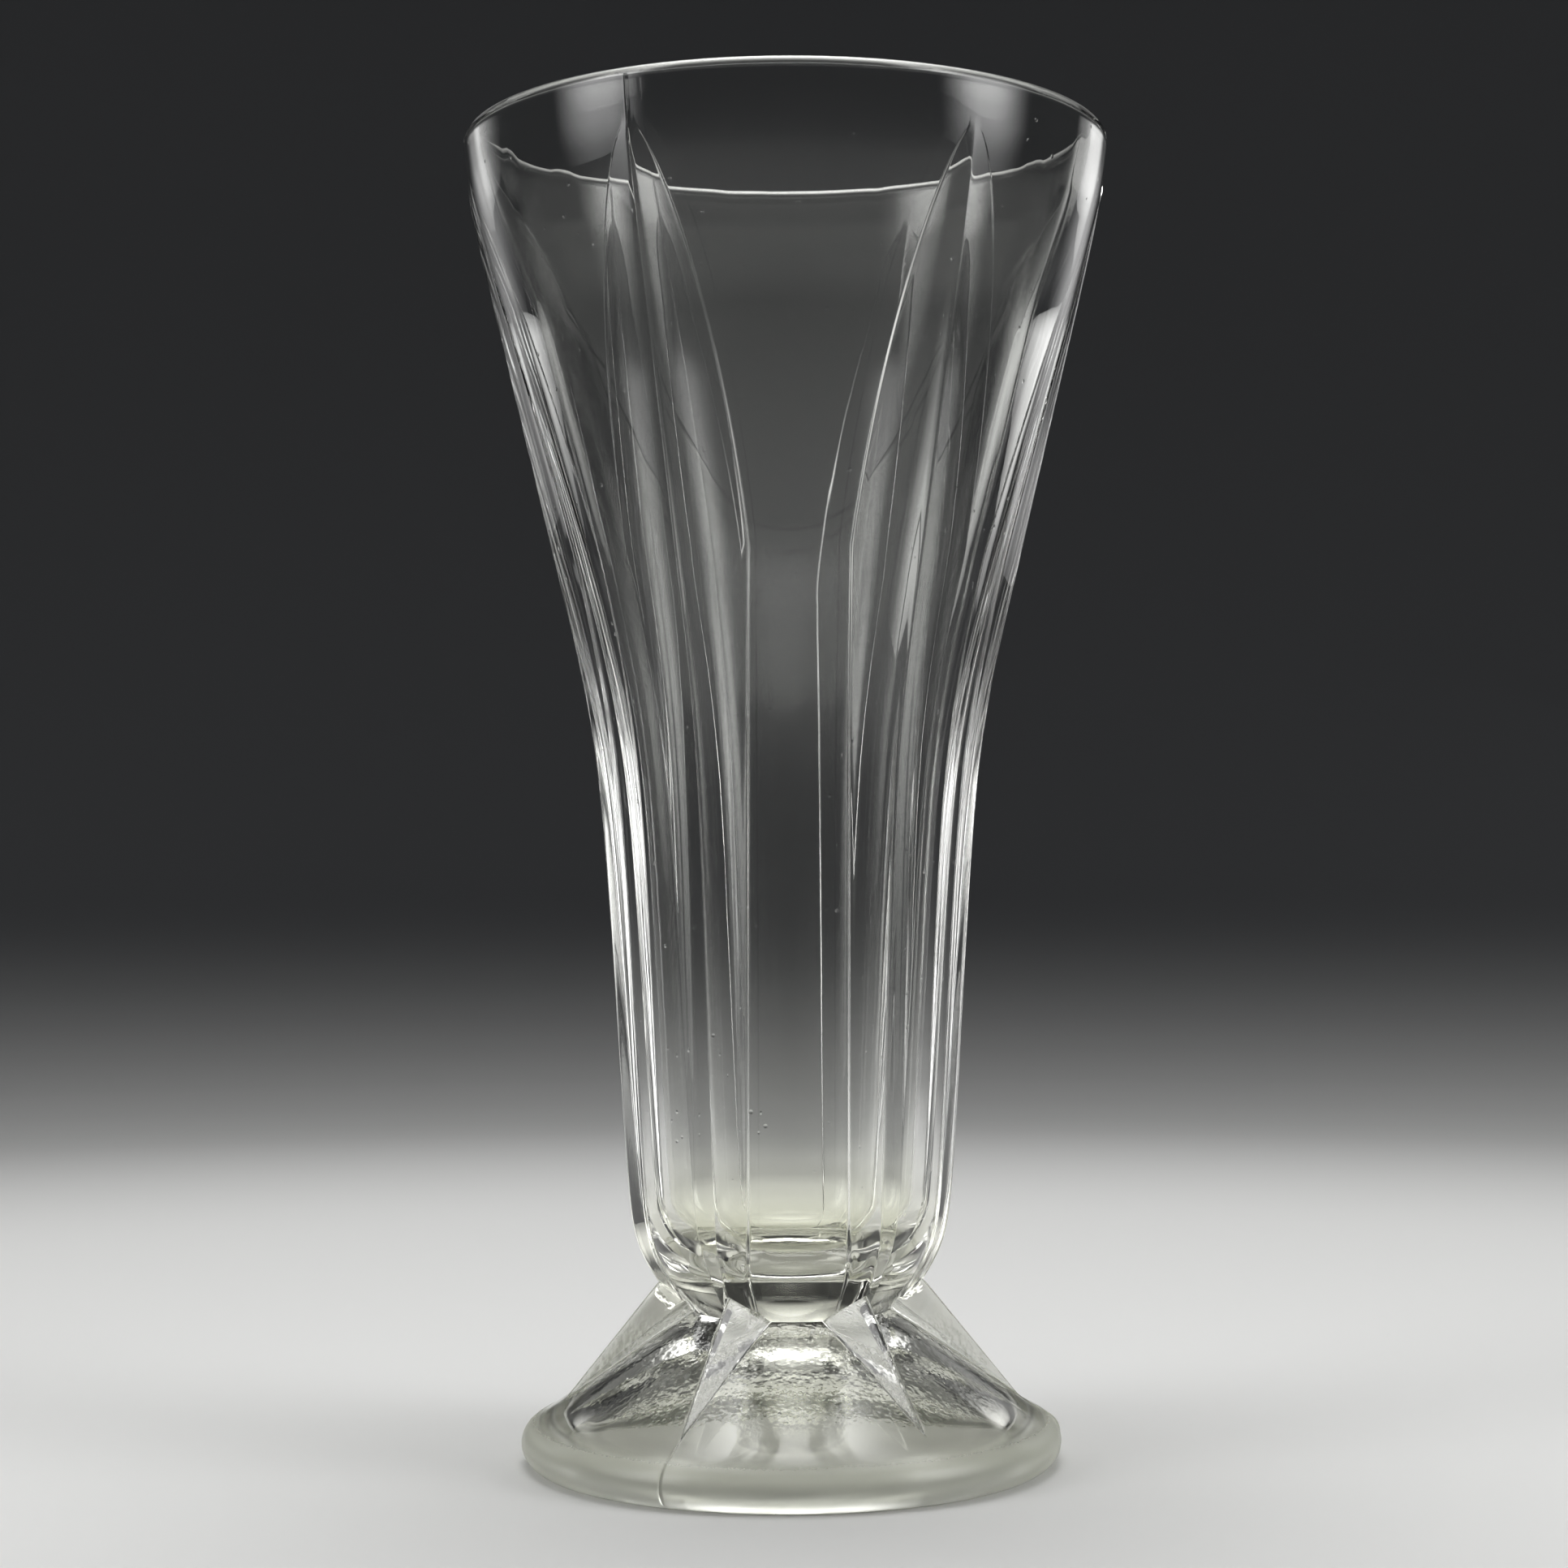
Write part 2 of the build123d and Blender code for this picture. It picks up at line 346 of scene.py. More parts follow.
# %% Dish between bowl and foot
DISH_DEPTH, DISH_ROWS, DISH_START_SHARE, DISH_POWER = 1.5, 8, 0.12, 3
LOW_ROW_RISE = 4.0
low_height = JOINT_HEIGHT + LOW_ROW_RISE
low_half = spear_half_angle(np.full(1, low_height))
low_radius = panel_radius(np.full(1, low_height))
offset_low, angle_low = columns(low_half, np.full(1, KITE_HALF_ANGLE), low_radius)
crease = crease_height(np.abs(offset_low[0]))
crease_radius = bowl_radius(np.abs(offset_low[0]), crease)
dish_share = np.linspace(DISH_START_SHARE, 1.0, DISH_ROWS)[:, None]
dish_bottom = crease.min() - DISH_DEPTH
dish_height = dish_bottom + (crease - dish_bottom) * dish_share ** DISH_POWER
dish = ring_points(crease_radius * dish_share, angle_low, dish_height)
print("the dish spans heights from", round(dish_height.min(), 2), "to", round(dish_height.max(), 2), "mm")

# %% [markdown]
# ### Outside
# The rows start on the crease, which rises and falls, and become level by the foot of the tube. They lie
# closer together where the spears narrow. On the right side a small fin of glass was squeezed out of the
# seam under the rim, and is a swelling of the seam.

# %% Outside of the bowl
LIP_ROUNDING = 1.5
OUTER_STOPS, OUTER_ROWS = [45.0, 150.0, 192.0, HEIGHT - LIP_ROUNDING], [34, 50, 42, 8]
APRON_RISE = 18.0
FIN_RELIEF, FIN_HEIGHT, FIN_HALF_LENGTH, FIN_LEAST_COSINE = 0.45, 193.0, 1.3, 0.9


def rising_rows(start, stops, counts):
    """Heights of the rows above a start that differs by column: straight steps from each stop to the next."""
    parts = []
    below = start
    for stop, count in zip(stops, counts):
        share = (np.arange(1, count + 1) / count)[:, None]
        parts.append(below + (stop - below) * share)
        below = np.full_like(start, stop)
    return np.concatenate(parts)


outer_height = rising_rows(crease, OUTER_STOPS, OUTER_ROWS)
uneven_rows = OUTER_ROWS[0]
row_height = np.concatenate([np.linspace(low_height, OUTER_STOPS[0], uneven_rows + 1)[1:],
                             outer_height[uneven_rows:, 0]])
row_half = spear_half_angle(row_height)
apron_share = np.clip((row_height - low_height) / APRON_RISE, 0, 1)
apron_end = KITE_HALF_ANGLE + ((row_half + SECTOR_HALF_ANGLE) / 2 - KITE_HALF_ANGLE) * apron_share
offset_out, angle_out = columns(row_half, apron_end, panel_radius(row_height))
outer_radius = bowl_radius(np.abs(offset_out), outer_height)
fin_swell = FIN_RELIEF / SEAM_RELIEF * np.exp(-((outer_height - FIN_HEIGHT) / FIN_HALF_LENGTH) ** 2)
fin = fin_swell * (np.cos(angle_out) > FIN_LEAST_COSINE)
outer_relief = seam_relief(angle_out, outer_radius) * (1 + fin)
outer = ring_points(outer_radius + outer_relief, angle_out, outer_height)
print("outside:", outer.shape[0], "rows of", outer.shape[1], "points")

# %% [markdown]
# ### Lip, inside and floor
# Fire rounds the lip, so it is two quarter circles. The inside is plain and round, and a quarter ellipse
# leads from its wall to the floor.

# %% Lip, inside and floor of the bowl
FLOOR_HEIGHT, FLOOR_RADIUS, FLOOR_ROUND_HEIGHT = 30.5, 8.0, 11.0
LIP_ROWS, INNER_ROWS, FLOOR_ROUND_ROWS = 8, 63, 14
FLOOR_SHARES = np.linspace(0.85, 0.15, 5)[:, None]
angle_in = angle_out[-1]
lip_base = HEIGHT - LIP_ROUNDING
turn_over = np.linspace(0, np.pi / 2, LIP_ROWS + 1)[1:, None]
lip_outer = ring_points(panel_radius(lip_base) - LIP_ROUNDING * (1 - np.cos(turn_over)), angle_in,
                        lip_base + LIP_ROUNDING * np.sin(turn_over))
lip_inner = ring_points(inside_radius(lip_base) + LIP_ROUNDING * (1 - np.sin(turn_over)), angle_in,
                        lip_base + LIP_ROUNDING * np.cos(turn_over))
floor_round_top = FLOOR_HEIGHT + FLOOR_ROUND_HEIGHT
inner_height = np.linspace(lip_base, floor_round_top, INNER_ROWS + 1)[1:, None]
inner = ring_points(inside_radius(inner_height), angle_in, inner_height)
quarter = np.linspace(np.pi / 2, 0, FLOOR_ROUND_ROWS + 1)[1:, None]
floor_spread = inside_radius(floor_round_top) - FLOOR_RADIUS
floor_round = ring_points(FLOOR_RADIUS + floor_spread * np.sin(quarter), angle_in,
                          floor_round_top - FLOOR_ROUND_HEIGHT * np.cos(quarter))
floor = ring_points(FLOOR_RADIUS * FLOOR_SHARES, angle_in, np.full_like(FLOOR_SHARES, FLOOR_HEIGHT))

GLASS_PATCH, BURIED_PATCH = 0, 1
bowl_rings = np.concatenate([dish, outer, lip_outer, lip_inner, inner, floor_round, floor])
bowl_patches = np.full(len(bowl_rings) - 1, GLASS_PATCH)
bowl_patches[:len(dish) - 1] = BURIED_PATCH
bowl = closed_mesh("glass_bowl", bowl_rings, bowl_patches)

# %% [markdown]
# ## Foot
# The foot is a second closed skin. It starts from the same hidden dish as the bowl, runs down the cone and
# the kites, round the edge and the ring that it stands on, and up into the hollow underneath. A drawing of
# the edge gives points and tangents, so its arcs are found from those.

# %% Arcs of the foot's edge
EDGE_TOP_HEIGHT, EDGE_TOP_RADIUS, EDGE_HEIGHT, FOOT_RADIUS = 6.4, 38.9, 2.5, 40.8
REST_OUTER_RADIUS, REST_INNER_RADIUS = 38.8, 35.6
FLANGE_ROWS, EDGE_ROWS, REST_ROWS = 10, 9, 5


def arc(centre, start, end, count):
    """Points on the circle about the centre from start to end the short way, without the start itself."""
    first = np.arctan2(*(start - centre)[::-1])
    sweep = (np.arctan2(*(end - centre)[::-1]) - first + np.pi) % (2 * np.pi) - np.pi
    turn = first + sweep * (np.arange(1, count + 1) / count)
    return centre + np.hypot(*(start - centre)) * np.stack([np.cos(turn), np.sin(turn)], axis=-1)


def centre_through(first, second, third):
    """Centre of the circle through three points, where the perpendicular bisectors of two chords cross."""
    chords = np.stack([second - first, third - first])
    return first + np.linalg.solve(chords, (chords ** 2).sum(axis=1) / 2)


def centre_from_tangent(start, tangent, end):
    """Centre of the circle that leaves start along the tangent and passes through end."""
    normal = np.array([-tangent[1], tangent[0]])
    chord = end - start
    return start + normal * (chord @ chord) / (2 * chord @ normal)


flange = np.array([FLANGE_RADIUS, FLANGE_HEIGHT])
edge_top = np.array([EDGE_TOP_RADIUS, EDGE_TOP_HEIGHT])
edge_side = np.array([FOOT_RADIUS, EDGE_HEIGHT])
rest_outer = np.array([REST_OUTER_RADIUS, 0.0])
slope_down = np.array([cone_slope, -1.0]) / np.hypot(cone_slope, 1.0)
flange_arc = arc(centre_from_tangent(flange, slope_down, edge_top), flange, edge_top, FLANGE_ROWS)
edge_centre = centre_through(edge_top, edge_side, rest_outer)
edge_arc = np.concatenate([arc(edge_centre, edge_top, edge_side, EDGE_ROWS),
                           arc(edge_centre, edge_side, rest_outer, EDGE_ROWS)])
rest_radius = np.linspace(REST_OUTER_RADIUS, REST_INNER_RADIUS, REST_ROWS + 1)[1:]
rest_ring = np.stack([rest_radius, np.zeros(REST_ROWS)], axis=-1)
print("the edge is rounded by", round(float(np.hypot(*(edge_top - edge_centre))), 2), "mm")

# %% [markdown]
# ### Hollow
# Pressed feet are hollow, so that they cool evenly. The hollow's wall follows the cone, and its height is
# once more a straight line with two soft corners.

# %% Hollow under the foot
HOLLOW_SHOULDER_HEIGHT, HOLLOW_SHOULDER_RADIUS = 3.6, 34.0
HOLLOW_CROWN_HEIGHT, HOLLOW_CROWN_RADIUS = 18.6, 12.5
HOLLOW_CROWN_ROUNDING, HOLLOW_SHOULDER_ROUNDING = 6.0, 1.6
FINE_SPAN, FINE_ROWS, HOLLOW_ROWS, HOLLOW_LEAST_RADIUS = 2.0, 13, 31, 0.8
hollow_rise = HOLLOW_CROWN_HEIGHT - HOLLOW_SHOULDER_HEIGHT
hollow_slope = hollow_rise / (HOLLOW_SHOULDER_RADIUS - HOLLOW_CROWN_RADIUS)
hollow_drop = HOLLOW_SHOULDER_HEIGHT / (REST_INNER_RADIUS - HOLLOW_SHOULDER_RADIUS) - hollow_slope
fine_end = HOLLOW_SHOULDER_RADIUS - FINE_SPAN
hollow_radius = np.concatenate([np.linspace(REST_INNER_RADIUS, fine_end, FINE_ROWS + 1)[1:],
                                np.linspace(fine_end, HOLLOW_LEAST_RADIUS, HOLLOW_ROWS + 1)[1:]])
past_crown = soft_ramp(hollow_radius - HOLLOW_CROWN_RADIUS, HOLLOW_CROWN_ROUNDING)
past_shoulder = soft_ramp(hollow_radius - HOLLOW_SHOULDER_RADIUS, HOLLOW_SHOULDER_ROUNDING)
hollow_height = HOLLOW_CROWN_HEIGHT - hollow_slope * past_crown - hollow_drop * past_shoulder
hollow = np.stack([hollow_radius, np.maximum(hollow_height, 0.0)], axis=-1)
print("the hollow's crown is", round(hollow_height.max(), 1), "mm high")

# %% [markdown]
# ### Cone, kites and edge
# The columns of the cone run along the kites' lower edges, which close in towards the tips. Below, the
# edge and the hollow are turned from their profile with the cone's last columns. The seams go on over the
# edge, a little higher there, and fade out before the ring that the vase stands on.

# %% Foot surface
CONE_ROWS = 33
EDGE_SEAM_SHARE = 2
down_share = np.linspace(0, 1, CONE_ROWS + 1)[1:, None]
cone_height = crease + (FLANGE_HEIGHT - crease) * down_share
edge_height = JOINT_HEIGHT + (FLANGE_HEIGHT - JOINT_HEIGHT) * down_share[:, 0]
_, base_x, base_y = kite_triangle(edge_height)
kite_edge = np.arctan2(base_y, base_x)
cone_flank_end = kite_edge * low_half / KITE_HALF_ANGLE
offset_cone, angle_cone = columns(cone_flank_end, kite_edge, np.hypot(base_x, base_y))
cone_radius = foot_radius(np.abs(offset_cone), cone_height)
cone = ring_points(cone_radius + seam_relief(angle_cone, cone_radius), angle_cone, cone_height)

turned = np.concatenate([flange_arc, edge_arc, rest_ring, hollow])
angle_skirt = np.broadcast_to(angle_cone[-1], (len(turned), angle_cone.shape[1]))
skirt_radius = np.broadcast_to(turned[:, :1], angle_skirt.shape)
is_edge = (np.arange(len(turned)) < len(flange_arc) + len(edge_arc))[:, None]
seam_fade = EDGE_SEAM_SHARE * is_edge * np.clip(turned[:, 1:] / EDGE_HEIGHT, 0, 1)
skirt_relief = seam_fade * seam_relief(angle_skirt, skirt_radius)
skirt = ring_points(skirt_radius + skirt_relief, angle_skirt, turned[:, 1:])

foot_rings = np.concatenate([dish, cone, skirt])
foot_patches = np.full(len(foot_rings) - 1, GLASS_PATCH)
foot_patches[:len(dish) - 1] = BURIED_PATCH
foot = closed_mesh("glass_foot", foot_rings, foot_patches)
foot.data.flip_normals()

# %% [markdown]
# ## Shader maths in Python
# Node trees are easier to read as sums. This small class wraps a socket, so that a plus sign adds a Math
# node, and one method makes any other node from its type, its settings and what goes into its sockets.

# %% Wrapper for sockets


class Wire:
    """An output socket in a node tree, with arithmetic that adds Math nodes."""

    def __init__(self, tree, socket):
        self.tree, self.socket = tree, socket

    def node(self, kind, settings=None, output=0, **inputs):
        """A new node: its settings are set first, then each named input gets a value or a wire."""
        made = self.tree.nodes.new(kind)
        for name, value in (settings or {}).items():
            setattr(made, name, value)
        for name, value in inputs.items():
            key = int(name[1:]) if name[0] == "i" and name[1:].isdigit() else name.replace("_", " ")
            if isinstance(value, Wire):
                self.tree.links.new(value.socket, made.inputs[key])
            else:
                made.inputs[key].default_value = value
        return Wire(self.tree, made.outputs[output])

    def math(self, operation, first, second=0.0):
        """A Math node with the given operation on two values or wires."""
        return self.node("ShaderNodeMath", {"operation": operation}, i0=first, i1=second)

    def __add__(self, other):
        return self.math("ADD", self, other)

    def __sub__(self, other):
        return self.math("SUBTRACT", self, other)

    def __rsub__(self, other):
        return self.math("SUBTRACT", other, self)

    def __mul__(self, other):
        return self.math("MULTIPLY", self, other)

    __radd__, __rmul__ = __add__, __mul__

    def step(self, low, high):
        """A smooth rise from 0 at low to 1 at high."""
        smooth = {"interpolation_type": "SMOOTHSTEP"}
        return self.node("ShaderNodeMapRange", smooth, Value=self, From_Min=low, From_Max=high)

    def blend(self, first, second):
        """Colour that goes from the first to the second as this wire goes from 0 to 1."""
        return self.node("ShaderNodeMix", {"data_type": "RGBA"}, output=2, i0=self, i6=first, i7=second)

    def axes(self):
        """The three parts of a vector, as wires from one node."""
        parts = self.node("ShaderNodeSeparateXYZ", Vector=self).socket.node
        return [Wire(self.tree, output) for output in parts.outputs]

    def into(self, socket):
        """Links this wire to a socket of a shader or lamp."""
        self.tree.links.new(self.socket, socket)


def new_material(name):
    """A material with its tree, its one shader, and a wire for the place on the object in metres."""
    material = bpy.data.materials.new(name)
    material.use_nodes = True
    tree = material.node_tree
    place = Wire(tree, tree.nodes.new("ShaderNodeTexCoord").outputs["Object"])
    return material, tree, tree.nodes["Principled BSDF"], place


def from_axis(place):
    """Distance from the vase's axis, and height, of a place on the object."""
    x_axis, y_axis, height = place.axes()
    return place.math("SQRT", x_axis * x_axis + y_axis * y_axis), height


print("wire operations:", [name for name in vars(Wire) if name.startswith("__")])

# %% [markdown]
# ## Glass
# Clear glass is a shader that lets light through and bends it. Real pressed glass is never quite even: its
# skin has slow waves from the mould, tiny seeds of gas and smears, and thick glass shows a straw tint. The
# tint follows the height, because the floor and the foot are thick. These are noises on the object's own
# coordinates, so they stay on the glass in any view.

# %% Clear glass
CLEAR, STRAW, PALE_STRAW = (0.97, 0.975, 0.955, 1.0), (0.91, 0.915, 0.79, 1.0), (0.95, 0.955, 0.895, 1.0)
GLASS_IOR = 1.52
THICK_FADE = 0.026, 0.052
WAVE_SCALE, SEED_SCALE, SMEAR_SCALE = 60.0, 190.0, 25.0
SEED_FADE, SEED_SHARE = (0.02, 0.07), 1.5
SMEAR_FADE, SMEAR_ROUGHNESS, LEAST_ROUGHNESS = (0.45, 0.75), 0.035, 0.012
BUMP_STRENGTH, BUMP_DISTANCE = 0.15, 0.0002


def glass_skin(place, height, thick_tint):
    """Tint, roughness and relief of fire-polished glass, as wires."""
    thick = 1 - height.step(*THICK_FADE)
    wave = place.node("ShaderNodeTexNoise", Vector=place, Scale=WAVE_SCALE, Detail=2.0)
    seed_gap = place.node("ShaderNodeTexVoronoi", Vector=place, Scale=SEED_SCALE)
    smear = place.node("ShaderNodeTexNoise", Vector=place, Scale=SMEAR_SCALE, Detail=4.0)
    roughness = smear.step(*SMEAR_FADE) * SMEAR_ROUGHNESS + LEAST_ROUGHNESS
    relief = wave + (1 - seed_gap.step(*SEED_FADE)) * SEED_SHARE
    return thick.blend(CLEAR, thick_tint), roughness, relief


def finish_glass(shader, tint, roughness, relief):
    """Feeds the wires of a glass skin into a shader that lets light through."""
    shader.inputs["Transmission Weight"].default_value = 1.0
    shader.inputs["IOR"].default_value = GLASS_IOR
    bump = relief.node("ShaderNodeBump", Strength=BUMP_STRENGTH, Distance=BUMP_DISTANCE, Height=relief)
    tint.into(shader.inputs["Base Color"])
    roughness.into(shader.inputs["Roughness"])
    bump.into(shader.inputs["Normal"])


bowl_glass, bowl_tree, bowl_shader, bowl_place = new_material("bowl_glass")
finish_glass(bowl_shader, *glass_skin(bowl_place, bowl_place.axes()[2], STRAW))
print(bowl_glass.name, "has", len(bowl_tree.nodes), "nodes")

# %% [markdown]
# ### Satin edge and chill marks
# The foot is the same glass with two marks of its making. Its edge was ground, and is satin: rough, and
# partly covered by a pale skin that scatters light. Its cone touched a cold mould, and chilled into fine
# ripples. A mix of two shaders gives the satin, and a finer noise over a band of heights the ripples.

# %% Glass of the foot
SATIN_TINT, SATIN_SHARE, SATIN_ROUGHNESS = (0.84, 0.86, 0.72, 1.0), 0.28, 0.5
SATIN_RADIUS_FADE, SATIN_HEIGHT_FADE = (0.0350, 0.0395), (0.0055, 0.0095)
GROUND_ROUGHNESS, GRAIN_ROUGHNESS, GRAIN_SCALE = 0.25, 0.1, 2600.0
CHILL_SCALE, CHILL_SHARE = 1000.0, 1.5
CHILL_LOW_FADE, CHILL_HIGH_FADE = (0.009, 0.012), (0.019, 0.023)

foot_glass, foot_tree, foot_shader, foot_place = new_material("foot_glass")
radius, height = from_axis(foot_place)
tint, roughness, relief = glass_skin(foot_place, height, PALE_STRAW)
satin_band = radius.step(*SATIN_RADIUS_FADE) * (1 - height.step(*SATIN_HEIGHT_FADE))
grain = foot_place.node("ShaderNodeTexNoise", Vector=foot_place, Scale=GRAIN_SCALE, Detail=2.0)
chill_band = height.step(*CHILL_LOW_FADE) * (1 - height.step(*CHILL_HIGH_FADE))
chill = foot_place.node("ShaderNodeTexNoise", Vector=foot_place, Scale=CHILL_SCALE, Detail=1.0)
roughness = roughness + satin_band * (GROUND_ROUGHNESS + GRAIN_ROUGHNESS * grain)
finish_glass(foot_shader, tint, roughness, relief + chill * chill_band * CHILL_SHARE)
satin = foot_place.node("ShaderNodeBsdfPrincipled", Base_Color=SATIN_TINT, Roughness=SATIN_ROUGHNESS)
clear = Wire(foot_tree, foot_shader.outputs[0])
mixed = foot_place.node("ShaderNodeMixShader", i0=satin_band * SATIN_SHARE, i1=clear, i2=satin)
mixed.into(foot_tree.nodes["Material Output"].inputs["Surface"])
print(foot_glass.name, "has", len(foot_tree.nodes), "nodes")

# %% [markdown]
# ### Dressing the pieces
# Each piece rides on the vase's one body and replaces its CAD node. The dish inside the glass is a surface
# only in the model, so its material is fully clear.

# %% Materials and frame
buried_joint, _, buried_shader, _ = new_material("buried_joint")
buried_shader.inputs["Alpha"].default_value = 0.0
for piece, node_name, finish in ((bowl, "bowl", bowl_glass), (foot, "foot", foot_glass)):
    piece.data.materials.append(finish)
    piece.data.materials.append(buried_joint)
    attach(piece, "root")
    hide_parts(node_name)
print("materials:", [material.name for material in bpy.data.materials])

# %% [markdown]
# ## Studio
# Clear glass shows only what is around it. A pale floor sweeps up on all sides into a dark backdrop,
# against which the bright edges of the glass stand out, and above the picture the paper is pale again, to
# light the glass from high up. The sweep is one profile turned about the vase's axis, so every side of the
# vase is seen in the same light. It lies a hair below the vase, because two surfaces in one plane flicker.

# %% Floor and backdrop
SWEEP_FLOOR_RADIUS, SWEEP_ROUND, SWEEP_TOP, SWEEP_DROP = 0.55, 0.35, 1.3, 0.0001
SWEEP_ROWS, SWEEP_COLUMNS, SWEEP_START_SHARE = 80, 96, 0.001


def sweep_profile(share):
    """Radius and height along the sweep: a level floor, a quarter circle and an upright wall."""
    bend_length = SWEEP_ROUND * np.pi / 2
    along = share * (SWEEP_FLOOR_RADIUS + bend_length + SWEEP_TOP)
    turn = np.clip((along - SWEEP_FLOOR_RADIUS) / SWEEP_ROUND, 0, np.pi / 2)
    radius = np.minimum(along, SWEEP_FLOOR_RADIUS) + SWEEP_ROUND * np.sin(turn)
    height = SWEEP_ROUND * (1 - np.cos(turn)) + np.maximum(along - SWEEP_FLOOR_RADIUS - bend_length, 0)
    return radius, height - SWEEP_DROP


sweep_radius, sweep_height = sweep_profile(np.linspace(SWEEP_START_SHARE, 1, SWEEP_ROWS))
sweep_angle = np.arange(SWEEP_COLUMNS) * 2 * np.pi / SWEEP_COLUMNS
sweep_points = ring_points(sweep_radius[:, None], sweep_angle, sweep_height[:, None]).reshape(-1, 3)
corner = np.arange(SWEEP_ROWS * SWEEP_COLUMNS).reshape(SWEEP_ROWS, SWEEP_COLUMNS)
beside = np.roll(corner, -1, axis=1)
sweep_faces = np.stack([corner[:-1], corner[1:], beside[1:], beside[:-1]], axis=-1).reshape(-1, 4)
sweep_mesh = bpy.data.meshes.new("studio_sweep")
sweep_mesh.from_pydata(sweep_points.tolist(), [], sweep_faces.tolist() + [corner[0].tolist()])
sweep_mesh.polygons.foreach_set("use_smooth", np.ones(len(sweep_mesh.polygons), dtype=bool))
sweep = bpy.data.objects.new("studio_sweep", sweep_mesh)
bpy.context.scene.collection.objects.link(sweep)
print("sweep faces:", len(sweep_faces))

# %% [markdown]
# ### Paper with a painted fall-off of light
# The paper's tone is painted: pale near the vase and dark further out, a painted fall-off of light. Here
# the tone follows the way out along the floor and up the wall, which is the distance from the axis plus the
# height.

# %% Paper with a painted fall-off of light
PAPER_PALE, PAPER_PAINTED_SHADE = (0.72, 0.72, 0.71, 1.0), (0.035, 0.036, 0.038, 1.0)
PAINTED_FALLOFF_SPAN, PAPER_PALES = (0.30, 0.85), (0.49, 0.57)
PAPER_ROUGHNESS, PAPER_SPECULAR = 0.9, 0.1
paper, _, paper_shader, paper_place = new_material("paper_painted_falloff")
paper_radius, paper_height = from_axis(paper_place)
# Painted shade: the paper darkens away from the vase, a painted fall-off of light, and is pale again high up.
painted_falloff = (paper_radius + paper_height).step(*PAINTED_FALLOFF_SPAN) * (1 - paper_height.step(*PAPER_PALES))
painted_falloff.blend(PAPER_PALE, PAPER_PAINTED_SHADE).into(paper_shader.inputs["Base Color"])
paper_shader.inputs["Roughness"].default_value = PAPER_ROUGHNESS
paper_shader.inputs["Specular IOR Level"].default_value = PAPER_SPECULAR
sweep_mesh.materials.append(paper)
print("paper darkens between", PAINTED_FALLOFF_SPAN[0], "and", PAINTED_FALLOFF_SPAN[1], "m from the vase")

# %% [markdown]
# ## Lamps
# A lamp with hard edges leaves hard white blocks in glass. Each soft box here fades towards its border, as
# cloth over a lamp does, so its reflections fade as well. One box hangs above, two stand at the sides for
# the kites and the tube, and two dim ones stand behind, out of the picture, for the spears' flanks.

# %% Soft boxes and the world
WORLD_GREY = (0.14, 0.143, 0.148, 1.0)
BOX_FADE = 0.45
BOX_AIM = (0.0, 0.0, 0.1)
SOFT_BOXES = (("top_box", (0.0, 0.14, 0.84), 0.9, 0.9, 16.0),
              ("left_box", (-0.62, -0.25, 0.35), 0.50, 0.80, 6.5),
              ("right_box", (0.62, -0.25, 0.35), 0.50, 0.80, 7.5),
              ("back_left_box", (-0.514, 0.613, 0.24), 0.55, 0.32, 0.45),
              ("back_right_box", (0.514, 0.613, 0.24), 0.55, 0.32, 0.60))
world = bpy.data.worlds.new("studio")
bpy.context.scene.world = world
world.use_nodes = True
world.node_tree.nodes["Background"].inputs["Color"].default_value = WORLD_GREY
world.node_tree.nodes["Background"].inputs["Strength"].default_value = 1.0


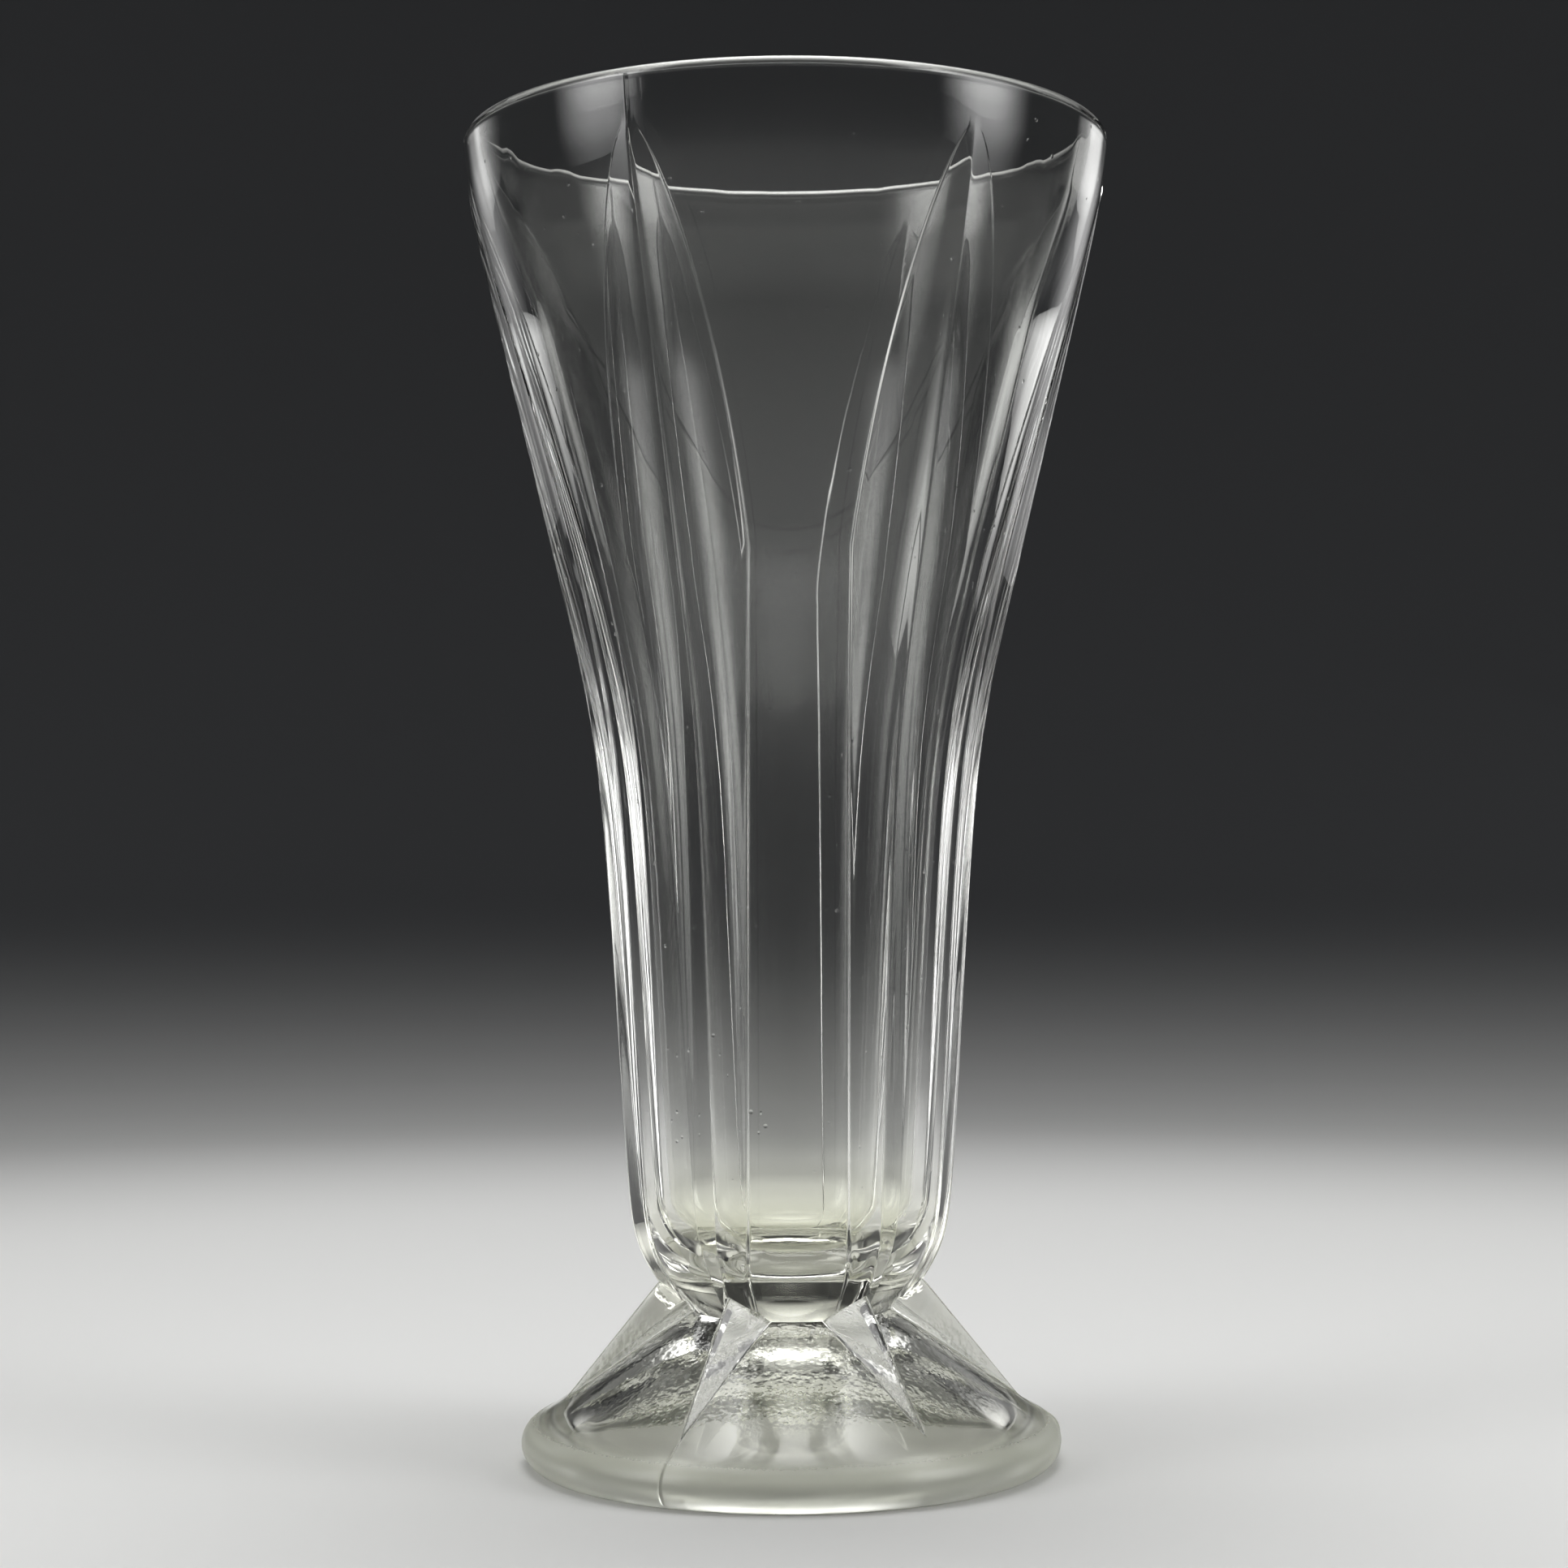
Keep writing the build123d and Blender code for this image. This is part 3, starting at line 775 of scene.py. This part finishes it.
def soft_box(name, place, width, height, watts):
    """A rectangular area lamp at a place, turned to face the vase, whose light fades towards its border."""
    lamp = bpy.data.lights.new(name, "AREA")
    lamp.shape, lamp.size, lamp.size_y, lamp.energy = "RECTANGLE", width, height, watts
    lamp.use_nodes = True
    tree = lamp.node_tree
    spot = Wire(tree, tree.nodes.new("ShaderNodeNewGeometry").outputs["Parametric"])
    across, along, _ = spot.axes()
    fade = across.step(0.0, BOX_FADE) * (1 - across).step(0.0, BOX_FADE)
    fade = fade * along.step(0.0, BOX_FADE) * (1 - along).step(0.0, BOX_FADE)
    fade.into(tree.nodes["Emission"].inputs["Color"])
    holder = bpy.data.objects.new(name, lamp)
    holder.location = place
    holder.rotation_euler = (Vector(BOX_AIM) - Vector(place)).to_track_quat("-Z", "Y").to_euler()
    holder.visible_camera = False
    bpy.context.scene.collection.objects.link(holder)


for box in SOFT_BOXES:
    soft_box(*box)

# %% [markdown]
# ## Camera
# The photograph was taken level with the lower half of the vase, a little over two vase heights away. The
# lens is set from the size that the rim and the foot have in the picture, a small turn lines up the
# panels, and a small shift puts the vase where it stands in the frame. Light crosses many walls of glass,
# so it may bounce often.

# %% Camera
IMAGE_SIDE = 1932
SENSOR_WIDTH = 36.0
FOCAL_PIXELS, HORIZON_ROW, AXIS_COLUMN = 3585.6, 1067.3, 971.9
CAMERA_DISTANCE, CAMERA_HEIGHT = 0.44237, 0.08992
CAMERA_TURN, CAMERA_ROLL = np.radians(3.2), -0.0048
camera_data = bpy.data.cameras.new("camera")
camera_data.sensor_width = SENSOR_WIDTH
camera_data.lens = SENSOR_WIDTH * FOCAL_PIXELS / IMAGE_SIDE
camera_data.shift_x = -(AXIS_COLUMN - IMAGE_SIDE / 2) / IMAGE_SIDE
camera_data.shift_y = (HORIZON_ROW - IMAGE_SIDE / 2) / IMAGE_SIDE
camera_data.clip_start = 0.01
camera = bpy.data.objects.new("camera", camera_data)
bpy.context.scene.collection.objects.link(camera)
stand_x, stand_y = -CAMERA_DISTANCE * np.sin(CAMERA_TURN), -CAMERA_DISTANCE * np.cos(CAMERA_TURN)
camera.matrix_world = (Matrix.Translation((stand_x, stand_y, CAMERA_HEIGHT))
                       @ Euler((np.pi / 2, 0, -CAMERA_TURN)).to_matrix().to_4x4()
                       @ Matrix.Rotation(CAMERA_ROLL, 4, "Z"))
scene = bpy.context.scene
scene.camera = camera
scene.view_settings.view_transform = "Standard"
scene.cycles.max_bounces = 24
scene.cycles.transmission_bounces = 24
scene.cycles.glossy_bounces = 12
scene.cycles.transparent_max_bounces = 24
shift = round(camera_data.shift_x, 4), round(camera_data.shift_y, 4)
print("lens", round(camera_data.lens, 2), "mm, shift", *shift)

# %% [markdown]
# ## Sizes
# The visual model has to be as large as the solids that it dresses.
